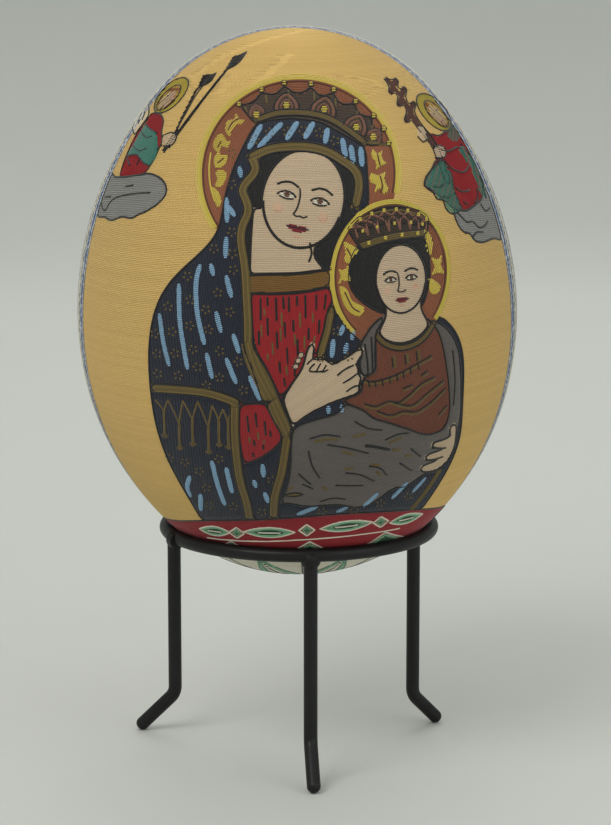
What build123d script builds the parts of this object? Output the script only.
"""Thread-inlaid icon egg standing in a three-legged wire ring stand.

The egg is a blown ostrich-size shell. It carries a thin coat of wax, and coloured
threads are pressed into the wax field by field, so that they form a mother-and-child
icon on the front, a woven border, a star field behind and a rosette round the base.
The stand is a ring of round bar with three bent legs welded under it.

Millimetres. +Z is up, the front faces -Y, and the origin is on the floor under the
middle of the ring. Drawings on the front of the egg are made in a plane (u, v):
u runs to the right (+X) and v is the height above the widest level of the egg.
"""

from math import acos, atan2, cos, degrees, hypot, pi, radians, sin, tan
import os

from build123d import *

os.makedirs("parts", exist_ok=True)

# --- egg -----------------------------------------------------------------------
egg_radius = 64.0            # greatest half width, over the threads
egg_upper = 83.5             # widest level up to the tip
egg_lower = 76.5             # widest level down to the base
tip_end_radius = 52.0        # rounding of the tip
base_end_radius = 55.5       # rounding of the base, where the egg sits in the ring
egg_lean = 1.2               # how far the egg leans to its left in the ring, degrees
thread_thickness = 0.5       # laid thread, measured square to the shell
wax_thickness = 0.5          # wax coat that holds the threads
shell_wall = 2.0             # eggshell
blow_hole_radius = 4.0       # hole in the base, where the egg was emptied
plug_rim_radius = 6.0        # wax plug's rim inside the shell
plug_rim_height = 1.2
plug_rim_lift = 0.6          # rim's underside above the shell's inner face, at the middle
plug_clearance = 0.2         # plug to the edge of the blow hole

# --- stand ---------------------------------------------------------------------
bar_radius = 2.0             # round bar of the ring and the legs
ring_radius = 39.2           # middle of the ring's bar
ring_height = 67.0           # middle of the ring's bar above the floor
seat_gap = 0.1               # egg to ring, square to the shell
weld_radius = 2.9            # bead between ring and leg
weld_sink = 1.3              # how far a bead's middle lies under the ring's middle
seam_azimuth = -64.0         # butt weld that closes the ring
seam_radius = 2.35
seam_length = 3.0
seam_shift = 0.6             # bead's middle lies this far outside the bar's and under it
leg_azimuths = {"front": 5.0, "left": -107.0, "right": 118.0}
foot_reach = {"front": 10.0, "left": 10.5, "right": 8.0}   # bend out of the foot's middle
foot_height = {"front": 2.0, "left": 2.0, "right": 2.0}    # foot's middle above the floor
leg_bend_radius = 5.0        # middle of the bar at the ankle

# --- borders round the egg ------------------------------------------------------
border_front = 4.3           # border's inner edge, in front of the middle, at the tip
border_width = 15.0
border_sweep = 140.0         # radius of the border's inner edge, seen from above
rosette_top = -66.0          # top of the base rosette
star_reach = 34.0            # tip of the star on the back
star_notch = 17.0            # its inner corners
star_points = 8
star_height = 4.0            # middle of the star above the widest level
trim_width = 2.4             # gold braid
cross_bar_width = 1.5
cross_knob_radius = 1.0
lance_width = 0.7

LAYERS = {
    "thread": 0.0,
    "wax": thread_thickness,
    "shell": thread_thickness + wax_thickness,
    "inside": thread_thickness + wax_thickness + shell_wall,
}


def side_arc(height, end_radius):
    """Arc from the widest level towards an end: radius, its middle's offset, and where it stops."""
    end_middle = height - end_radius
    radius = (egg_radius**2 + end_middle**2 - end_radius**2) / (2 * (egg_radius - end_radius))
    offset = egg_radius - radius
    return radius, offset, atan2(end_middle, -offset)


def seat_level():
    """Height of the widest level, and of the point that the egg leans about in its seat."""
    reach = bar_radius + seat_gap
    radius, offset, stop = side_arc(egg_lower, base_end_radius)
    if ring_radius < (base_end_radius + reach) * cos(stop):
        angle = acos(ring_radius / (base_end_radius + reach))
        drop = egg_lower - base_end_radius + (base_end_radius + reach) * sin(angle)
    else:
        angle = acos((ring_radius - offset) / (radius + reach))
        drop = (radius + reach) * sin(angle)
    level = ring_height + drop
    return level, ring_height + ring_radius * tan(angle)


widest, lean_centre = seat_level()


def egg_solid(depth):
    """Solid egg whose surface lies depth under the laid threads."""
    upper_radius, upper_offset, upper_stop = side_arc(egg_upper, tip_end_radius)
    lower_radius, lower_offset, lower_stop = side_arc(egg_lower, base_end_radius)
    upper_turn, lower_turn = degrees(upper_stop), degrees(lower_stop)
    profile = Curve() + [
        CenterArc((0, egg_upper - tip_end_radius), tip_end_radius - depth,
                  upper_turn, 90 - upper_turn),
        CenterArc((upper_offset, 0), upper_radius - depth, 0, upper_turn),
        CenterArc((lower_offset, 0), lower_radius - depth, -lower_turn, lower_turn),
        CenterArc((0, base_end_radius - egg_lower), base_end_radius - depth, -90, 90 - lower_turn),
        Line((0, egg_upper - depth), (0, depth - egg_lower)),
    ]
    face = Plane.XZ * make_face(profile)
    return Pos(0, 0, widest) * revolve(face, Axis.Z, 360)


def lean(shape):
    """Turn an egg part by the egg's lean, about the middle of its seat."""
    return Pos(0, 0, lean_centre) * (Rot(0, -egg_lean, 0) * (Pos(0, 0, -lean_centre) * shape))


def outline(*runs):
    """Flat face from runs of points: two points make a line, more make a smooth curve."""
    edges = [Line(*run) if len(run) == 2 else Spline(*run) for run in runs]
    return make_face(Curve() + edges)


def polygon(*points):
    """Flat face with straight sides."""
    return make_face(Polyline(*points, close=True))


def oval(centre, half_width, half_height, turn=0.0):
    """Flat ellipse, turned anticlockwise."""
    return Pos(*centre) * (Rot(0, 0, turn) * Ellipse(half_width, half_height))


def strip(points, width):
    """Flat band of even width along a path of straight runs."""
    left, right = [], []
    for index, point in enumerate(points):
        before = points[max(index - 1, 0)]
        after = points[min(index + 1, len(points) - 1)]
        along = (after[0] - before[0], after[1] - before[1])
        length = hypot(*along)
        side = (-along[1] / length * width / 2, along[0] / length * width / 2)
        left.append((point[0] + side[0], point[1] + side[1]))
        right.append((point[0] - side[0], point[1] - side[1]))
    return polygon(*left, *reversed(right))


def front_prism(face):
    """Drawing-plane face, carried forward through the front of the egg."""
    return extrude(Plane.XZ * (Pos(0, widest) * face), amount=egg_radius + 5)


# --- drawing of the icon, in the plane (u, v) ------------------------------------

def figure_silhouette():
    """Mother and child together, down into the lower border."""
    left_side = [(-27.5, -55), (-31.5, -46), (-36.5, -35), (-39.5, -25), (-41, -12), (-40.6, 2),
                 (-36.5, 14.5), (-30, 22), (-24.5, 27), (-20.8, 32), (-19.3, 38), (-17.5, 45),
                 (-14.5, 52), (-9.5, 60.5)]
    brow = [(-9.5, 60.5), (0, 62.3), (8, 61.3), (14, 57.8), (19.7, 54)]
    right_side = [(19.7, 54), (20.3, 46), (20.5, 36), (22, 25), (29, 14), (36, 8.5), (41, 5), (45, -1),
                  (46.3, -9), (46, -20), (45, -32), (42, -40), (38, -47), (33, -55)]
    return outline(left_side, brow, right_side, [(33, -55), (-27.5, -55)])


def lower_border_face():
    """Red border under the figures; its lower edge is the rosette's plane."""
    top = [(-48, -60), (-40, -57.2), (-33, -54.8), (-28, -53.4), (-14, -51.5), (0, -50.3), (14, -49.9),
           (24, -50.7), (35, -52.7), (42, -55.5), (48, -59)]
    return outline(top, [(48, -59), (48, rosette_top)], [(48, rosette_top), (-48, rosette_top)],
                   [(-48, rosette_top), (-48, -60)])


def hands_face():
    """Mother's right hand, and the fingers of the left one under the child."""
    right_hand = polygon((-4.2, -13.9), (-1.5, -9.5), (0.4, -6.9), (1.7, -4.9), (2.4, -1.6), (3.3, 1),
                         (4.2, 2), (5, 1.4), (4.9, -0.2), (4.3, -2.2), (3.9, -3.4), (6, -2.8),
                         (8.4, -3), (9.9, -4.2), (12.9, -3.2), (15.3, -1.6), (17, -0.3), (18.3, -0.4),
                         (18.4, -1.6), (17, -3.5), (15.4, -5), (16.9, -5.2), (17.2, -6.4), (16, -7.6),
                         (17.4, -7.8), (17.9, -8.9), (17.1, -10.2), (16, -10.8), (17.3, -11.2),
                         (17.5, -12.4), (16.2, -13.2), (13.8, -13.9), (10.5, -14.8), (7, -16.2),
                         (3.5, -18), (0.5, -20), (-1.6, -21.8), (-2.6, -19), (-3.4, -16.4))
    left_fingers = polygon((44.4, -26), (43.2, -25.6), (42, -26.8), (42.4, -28.4), (43, -29.4),
                           (40.4, -30.2), (37.2, -30.3), (36.8, -31.5), (38.4, -32.5), (41.2, -32.9),
                           (38.8, -33.4), (35.4, -33.9), (34.8, -35), (36, -36), (39.6, -36),
                           (36.8, -36.8), (34, -37.2), (33.6, -38.4), (34.4, -39.4), (37.4, -39.8),
                           (40.2, -39), (42.4, -36.6), (44, -32.6))
    return right_hand + left_fingers


def child_face_face():
    """Child's face and neck."""
    neck = polygon((24.6, 12), (24.9, 9), (24, 6.2), (22.2, 3.6), (24, 1.4), (27, 0.1), (30, -0.1),
                   (33.4, 1.1), (36.8, 4.2), (35.2, 6.8), (34.2, 9), (34, 12))
    return oval((28.9, 17.4), 7.0, 9.4, 3) + neck


def child_hair_face():
    """Hair on both sides of the child's face."""
    return outline([(16.4, 27), (14.8, 22.2), (14.5, 18), (16, 14.3), (19, 11.4), (22, 9.4), (24.4, 8.2)],
                   [(24.4, 8.2), (34.4, 9)],
                   [(34.4, 9), (36.2, 13.5), (37, 18.5), (36.8, 23.5), (35.8, 28)],
                   [(35.8, 28), (16.4, 27)])


def child_crown_face():
    """Child's crown: a band that flares upwards to a rounded top."""
    return outline([(18, 26), (14.2, 32)],
                   [(14.2, 32), (16.8, 34.2), (20.2, 35.8), (24.6, 36.7), (28.1, 36.7), (31.6, 36.1),
                    (35, 34.8), (37.4, 32.7)],
                   [(37.4, 32.7), (36, 28)],
                   [(36, 28), (31.5, 28.1), (27.3, 27.9), (23.1, 27.2), (18, 26)])


def child_robe_face():
    """Child's brown robe."""
    return polygon((21.6, 4.4), (25, 4.5), (29, 4.5), (35.2, 6.8), (37, 5.2), (38.8, 2.8), (40.1, -0.8),
                   (41.1, -6.3), (42, -13.3), (42.4, -20.6), (41.6, -25), (39.8, -27.3), (36.2, -27.8),
                   (33.2, -26.7), (30.5, -25), (27.4, -23.6), (24.4, -22.1), (20.8, -20.9), (18, -18),
                   (13, -15.7), (12.4, -14.6), (17.6, -13), (17.8, -8.6), (21.5, -7.5))


def child_wrap_face():
    """Grey wrap: a strip over each shoulder and the drapery over the lap."""
    left = polygon((24.6, 8.6), (20.6, 5.6), (17.8, 1.4), (16, -2), (17, -4), (17.6, -9), (21.5, -7.6),
                   (21.4, 0), (22.2, 3.6))
    right = polygon((36.6, 5.8), (40.6, 3.6), (43.4, 0), (45, -4.6), (45.6, -12), (45.6, -22),
                    (44.6, -30), (40.4, -28.2), (42.2, -21), (41.8, -13), (40.6, -5.5), (38, 1.6))
    lap = polygon((-1.6, -22.3), (2, -20.8), (6, -19.7), (10, -18.9), (12, -17.6), (12.6, -15.4),
                  (18, -18), (20.8, -20.9), (24.4, -22), (27.4, -23.6), (30.5, -25), (33.2, -26.6),
                  (36.2, -27.7), (39.8, -27.3), (42, -26), (44.6, -30), (42, -37), (39, -40),
                  (35, -39.8), (32.4, -41.5), (29.6, -43.4), (26.5, -42.8), (24, -44.4), (21, -46.8),
                  (17.5, -48.2), (14.5, -48), (11.5, -46.6), (6, -46.6), (2, -46.9), (-2.5, -45.7),
                  (-5.6, -45.6), (-4.2, -42), (-3, -38), (-2.4, -33), (-2.2, -27))
    return left + right + lap


def mother_face_face():
    """Mother's face and neck."""
    neck = polygon((-11, 38), (-11.8, 30), (-12.4, 19), (0, 19), (9.8, 19.5), (5.2, 24.5), (5.2, 30),
                   (9, 34))
    return oval((2.6, 39.8), 11.2, 13.2, -14) + neck


def mother_hair_face():
    """Dark hair and cap inside the hood."""
    return outline([(-13.2, 19), (-14.2, 28), (-13.4, 34), (-13, 40), (-14.2, 44), (-11, 47.4),
                    (-12.2, 50.4)],
                   [(-12.2, 50.4), (-5, 53.4), (2, 54.2), (9, 52.6), (14, 50), (17.4, 46.6)],
                   [(17.4, 46.6), (17.9, 43), (17.4, 38), (16.8, 33), (14, 27), (11, 19.5)],
                   [(11, 19.5), (-13.2, 19)])


def mother_robe_face():
    """Red robe: the front under the collar, and the sleeve at the wrist."""
    front = polygon((-12.4, 15.6), (-11.8, 3), (-11, -0.6), (-8.4, -5), (-6.2, -10), (-4.8, -13.6),
                    (0, -8), (4, -2.5), (6.6, -1.8), (8.6, 5), (9.8, 10), (10.6, 13), (12, 17.5),
                    (-12.6, 17.5))
    wrist = polygon((-16.4, -15.5), (-8.8, -15), (-7.8, -17.5), (-6.7, -20.2), (-4, -25.3),
                    (-6.5, -28.2), (-9.4, -30.5), (-12.5, -32.3), (-15.3, -33.3), (-16.2, -28),
                    (-16.5, -22))
    return front + wrist


def mother_crown_face():
    """Mother's crown: a band that fans out into nine points with hollow sides."""
    return polygon((-10.2, 59.6), (-14.6, 64.6), (-12.2, 64.5), (-9.9, 65.5), (-8.3, 68.2), (-7, 67.2),
                   (-5, 66.9), (-3.2, 67.9), (-2, 69.8), (-0.8, 68.1), (1.4, 67.1), (3.8, 67.5),
                   (5.4, 69.4), (6.2, 67.6), (7.8, 66.3), (10, 66.5), (11.6, 67.7), (12, 65.8),
                   (13.2, 64), (15.4, 63.9), (17.6, 64.4), (17.7, 62.4), (18.9, 60.9), (20.6, 60.5),
                   (22.4, 60.5), (21.7, 58.8), (22.2, 57.2), (23.6, 57), (25.1, 57), (23.8, 55.2),
                   (23.6, 53.9), (24.8, 53.6), (26.3, 53.2), (19.6, 53), (14, 56.4), (7.5, 60), (0, 61),
                   (-6, 60.6))


def braid_face():
    """Gold braid along the hood, the mantle's front, the cuff, the sleeve and the hem."""
    hood = strip([(-12.4, 50.5), (-9, 52.2), (-6, 53.2), (-3, 53.6), (0.4, 53.7), (3, 53.6),
                  (5.5, 53.3), (8, 52.7), (10.2, 51.8), (12, 50.8), (13.4, 49.7), (15.4, 48.5),
                  (17.1, 47), (18, 45), (18, 42), (17.4, 39.6), (16.6, 37)], trim_width)
    crown_band = strip([(-10.3, 60.4), (-7.6, 61.5), (-4.7, 62.2), (0, 62.5), (5, 62.1), (10, 60.7),
                        (13.7, 58.6), (17, 56.2), (20.2, 53.6)], trim_width * 0.65)
    front_edge = strip([(-11.2, 50.8), (-9.9, 47.6), (-12.3, 45), (-14.2, 42.6), (-12.7, 39.6),
                        (-12.3, 36.6), (-14.2, 33), (-14.6, 29.2), (-13.8, 24), (-13.4, 19),
                        (-13.3, 14), (-13.1, 8), (-13.2, 2)], trim_width)
    front_flare = polygon((-14.4, 2.4), (-12, 2.4), (-11.7, 0), (-8.5, -5), (-6.2, -10), (-4.9, -13.7),
                          (-9.6, -15), (-10.9, -10), (-12.4, -5), (-14.2, -0.4))
    cuff = polygon((-8.9, -15.1), (-5, -13.6), (-3.6, -17.4), (-1.7, -21.9), (-2.2, -23.8), (-4, -25.5),
                   (-6.7, -20.2))
    collar = polygon((-12.6, 20.2), (0, 20.3), (10.2, 21.2), (9.8, 17), (4, 16), (-2, 15.5),
                     (-12.4, 15.4))
    right_edge = strip([(10.4, 12), (9.4, 9.4), (8.4, 4.6), (6.6, -1), (6, -4)], trim_width * 0.85)
    sleeve = strip([(-40.8, -12.6), (-39.4, -12.5), (-36, -12.3), (-30, -12.2), (-25, -12.5),
                    (-20, -13.8), (-15.8, -15.4)], trim_width)
    hem = strip([(-17.3, -15.8), (-17.6, -23), (-17.4, -30), (-16.9, -36.4), (-16.1, -41), (-15, -45.6),
                 (-14.2, -52)], trim_width)
    fall = strip([(-3.1, -24.6), (-4, -30.2), (-4.9, -35.6), (-6.3, -40.3), (-7.2, -44),
                  (-7.7, -52)], trim_width)
    return hood + crown_band + front_edge + front_flare + cuff + collar + right_edge + sleeve + hem + fall


def left_angel_face():
    """Left angel: body in a red robe with a green sash."""
    return polygon((-38.8, 61.2), (-37, 61), (-36.1, 59.5), (-36.4, 58), (-37, 56), (-36.2, 55.4),
                   (-36.5, 53.8), (-37.6, 51.9), (-38.2, 50.4), (-39, 49), (-40, 47.6), (-41.4, 45.4),
                   (-49.4, 43.4), (-48.3, 47), (-47.4, 49.2), (-46.2, 51.8), (-44.8, 54.6),
                   (-43.4, 56.4), (-42, 57.9), (-41, 59.6), (-40.2, 60.8))


def right_angel_face():
    """Right angel: body in a red robe with a green cloak, and the hands."""
    return polygon((43.6, 54.6), (40.8, 53.4), (37, 55.6), (36.6, 54.2), (39.4, 51.4), (40, 48.5),
                   (38.5, 45.4), (36.4, 43.6), (36, 41.2), (38, 39.6), (40.4, 38.4), (42.4, 36),
                   (44.6, 34.2), (48, 33), (53, 35), (56, 44), (50, 51.5), (46.8, 56.4), (45.2, 56.2))


def cross_face():
    """Three-bar cross with round-ended bars that the right angel carries."""
    shape = strip([(26.2, 70), (28.6, 67.5), (30.8, 64.8), (33, 60.9)], cross_bar_width * 0.75)
    shape = shape + strip([(32.6, 61.6), (35, 57.3), (37.5, 54.3), (39.5, 51.6), (40.9, 47.6),
                           (43.3, 40.8)],
                          cross_bar_width)
    for ends in ([(27.9, 66.6), (29.2, 68.7)], [(30.1, 63.2), (31.5, 66.3)], [(32, 58.9), (34, 62.4)]):
        shape = shape + strip(ends, cross_bar_width)
        for end in ends:
            shape = shape + Pos(*end) * Circle(cross_knob_radius)
    return shape


def lances_face():
    """Two lances with leaf heads, held by the left angel."""
    long_shaft = strip([(-36, 51.6), (-30.5, 58.4), (-24.5, 66), (-18, 73.6), (-13.6, 77.2)], lance_width)
    short_shaft = strip([(-34.6, 52.6), (-31, 60.4), (-26.8, 68), (-22.4, 71.8)], lance_width)
    long_head = polygon((-18.6, 73.4), (-15.6, 74.6), (-13.2, 77.4), (-16.4, 76.8))
    short_head = polygon((-26.4, 69), (-23.6, 69.8), (-22, 72.2), (-25, 71.8))
    return long_shaft + short_shaft + long_head + short_head


def icon_faces():
    """Every field of the icon with its own colour, the ones on top first."""
    return {
        "lower_border": lower_border_face(),
        "mother_hands": hands_face(),
        "child_crown": child_crown_face(),
        "child_face": child_face_face(),
        "child_hair": child_hair_face(),
        "child_robe": child_robe_face(),
        "child_wrap": child_wrap_face(),
        "child_halo": oval((26.2, 18.7), 16.8, 20),
        "gold_braid": braid_face(),
        "mother_face": mother_face_face(),
        "mother_hair": mother_hair_face(),
        "mother_robe": mother_robe_face(),
        "mother_crown": mother_crown_face(),
        "mother_mantle": figure_silhouette(),
        "mother_halo": oval((1.5, 46), 27.2, 25.3),
        "cross": cross_face(),
        "lances": lances_face(),
        "angel_left_halo": oval((-34.2, 65.9), 6.6, 2.6, 42),
        "angel_right_halo": oval((40, 59.6), 6.8, 2.9, -46),
        "angel_left": left_angel_face(),
        "angel_right": right_angel_face(),
        "cloud_left": polygon((-60, 46), (-53.6, 45.2), (-52.4, 44.2), (-50.5, 43), (-47.2, 45.1),
                              (-43.3, 45.8), (-40, 45.7), (-37.2, 45), (-35.6, 43.6), (-34.9, 41.8),
                              (-35.6, 39.8), (-37, 38.8), (-38.2, 37.3), (-39.6, 36.9), (-41.4, 35.3),
                              (-43.3, 34.9), (-45.2, 33.3), (-47.2, 33.5), (-49, 33.4), (-50.6, 32.2),
                              (-52.5, 31.8), (-53.7, 32.6), (-55.4, 31.8), (-60, 32.6)),
        "cloud_right": polygon((60, 37), (52, 38), (47, 36), (44.2, 35.4), (44.3, 33), (45, 30.9),
                               (46, 28.7), (47.6, 27.2), (49.2, 27.3), (49.5, 25.5), (51, 24.3),
                               (53.4, 23.8), (55.4, 24.2), (57, 23.9), (58.4, 22.8), (60.4, 23.4)),
    }


# --- egg parts -------------------------------------------------------------------

def border_column(radius):
    """Upright column whose edge is the border's line, seen from above."""
    middle = -border_front - border_sweep
    return Pos(0, middle, widest) * Cylinder(radius, 3 * egg_upper)


def level_block(bottom, top):
    """Wide block between two heights over the widest level."""
    side = 4 * egg_radius
    return Pos(0, 0, widest + (bottom + top) / 2) * Box(side, side, top - bottom)


def make_icon_fields(thread_layer):
    """Thread fields on the front of the egg, each an own solid in the wax."""
    above_rosette = level_block(rosette_top, egg_upper + 5)
    panel = (thread_layer & border_column(border_sweep)) & above_rosette
    fields = {}
    covered = None
    for name, face in icon_faces().items():
        own = face if covered is None else face - covered
        fields[name] = panel & front_prism(own)
        covered = face if covered is None else covered + face
    fields["icon_ground"] = panel - front_prism(covered)
    return fields


def make_border_and_back(thread_layer):
    """Border strap over the egg, and the star with its field behind it."""
    upper = thread_layer & level_block(rosette_top, egg_upper + 5)
    strap = upper & (border_column(border_sweep + border_width) - border_column(border_sweep))
    back = upper - border_column(border_sweep + border_width)
    tips = []
    for index in range(2 * star_points):
        reach = star_reach if index % 2 == 0 else star_notch
        angle = pi / 2 + index * pi / star_points
        tips.append((reach * cos(angle), star_height + reach * sin(angle)))
    star = extrude(Plane.XZ * (Pos(0, widest) * polygon(*tips)), amount=-(egg_radius + 5))
    return {
        "side_border": strap,
        "back_star": back & star,
        "back_field": back - star,
    }


def make_egg():
    """All parts of the egg, upright; the lean is added when they are written."""
    over_threads = egg_solid(LAYERS["thread"])
    over_wax = egg_solid(LAYERS["wax"])
    over_shell = egg_solid(LAYERS["shell"])
    hollow = egg_solid(LAYERS["inside"])
    thread_layer = over_threads - over_wax
    base = widest - egg_lower
    through = 4 * LAYERS["inside"]
    blow_hole = Pos(0, 0, base) * Cylinder(blow_hole_radius, through)
    stem = Pos(0, 0, base) * Cylinder(blow_hole_radius - plug_clearance, through)
    rim_bottom = LAYERS["inside"] + plug_rim_lift
    rim = Pos(0, 0, base + rim_bottom + plug_rim_height / 2) * Cylinder(plug_rim_radius, plug_rim_height)
    stem_part = over_shell & stem & level_block(-egg_lower, -egg_lower + rim_bottom + plug_rim_height / 2)
    parts = {
        "eggshell": over_shell - hollow - blow_hole,
        "wax_coat": over_wax - over_shell,
        "blow_hole_plug": stem_part + rim,
        "base_rosette": thread_layer & level_block(-egg_lower - 5, rosette_top),
    }
    parts.update(make_border_and_back(thread_layer))
    parts.update(make_icon_fields(thread_layer))
    return {name: lean(part) for name, part in parts.items()}


# --- stand parts -----------------------------------------------------------------

def make_leg(name):
    """Leg: straight down from the ring, then bent outwards into a rounded foot."""
    azimuth = radians(leg_azimuths[name])
    out = Vector(sin(azimuth), -cos(azimuth), 0)
    top = out * ring_radius + Vector(0, 0, ring_height - weld_sink)
    foot = out * (ring_radius + foot_reach[name]) + Vector(0, 0, foot_height[name])
    ankle = out * ring_radius + Vector(0, 0, foot_height[name] + foot_reach[name])
    path = FilletPolyline(top, ankle, foot, radius=leg_bend_radius)
    bar = sweep(Plane(origin=top, z_dir=(0, 0, -1)) * Circle(bar_radius), path=path)
    return bar + Pos(*foot) * Sphere(bar_radius)


def make_stand():
    """Ring, its seam weld, and three legs, each with its weld bead."""
    ring = Pos(0, 0, ring_height) * Torus(ring_radius, bar_radius)
    seam_at = radians(seam_azimuth)
    seam_out = ring_radius + seam_shift
    seam_place = Plane(origin=(seam_out * sin(seam_at), -seam_out * cos(seam_at),
                               ring_height - seam_shift),
                       z_dir=(cos(seam_at), sin(seam_at), 0))
    seam = seam_place * Cylinder(seam_radius, seam_length) - ring
    parts = {"ring": ring}
    for name in leg_azimuths:
        azimuth = radians(leg_azimuths[name])
        centre = (ring_radius * sin(azimuth), -ring_radius * cos(azimuth), ring_height - weld_sink)
        leg = make_leg(name) - ring
        parts["leg_" + name] = leg
        parts["weld_" + name] = Pos(*centre) * Sphere(weld_radius) - ring - leg
    parts["ring_seam_weld"] = seam
    return parts


def main():
    """Write every part to its own file."""
    parts = make_stand()
    parts.update(make_egg())
    for name, part in parts.items():
        part.label = name
        export_step(part, os.path.join("parts", name + ".step"))
        print(name, len(part.solids()), round(part.volume, 1))


main()
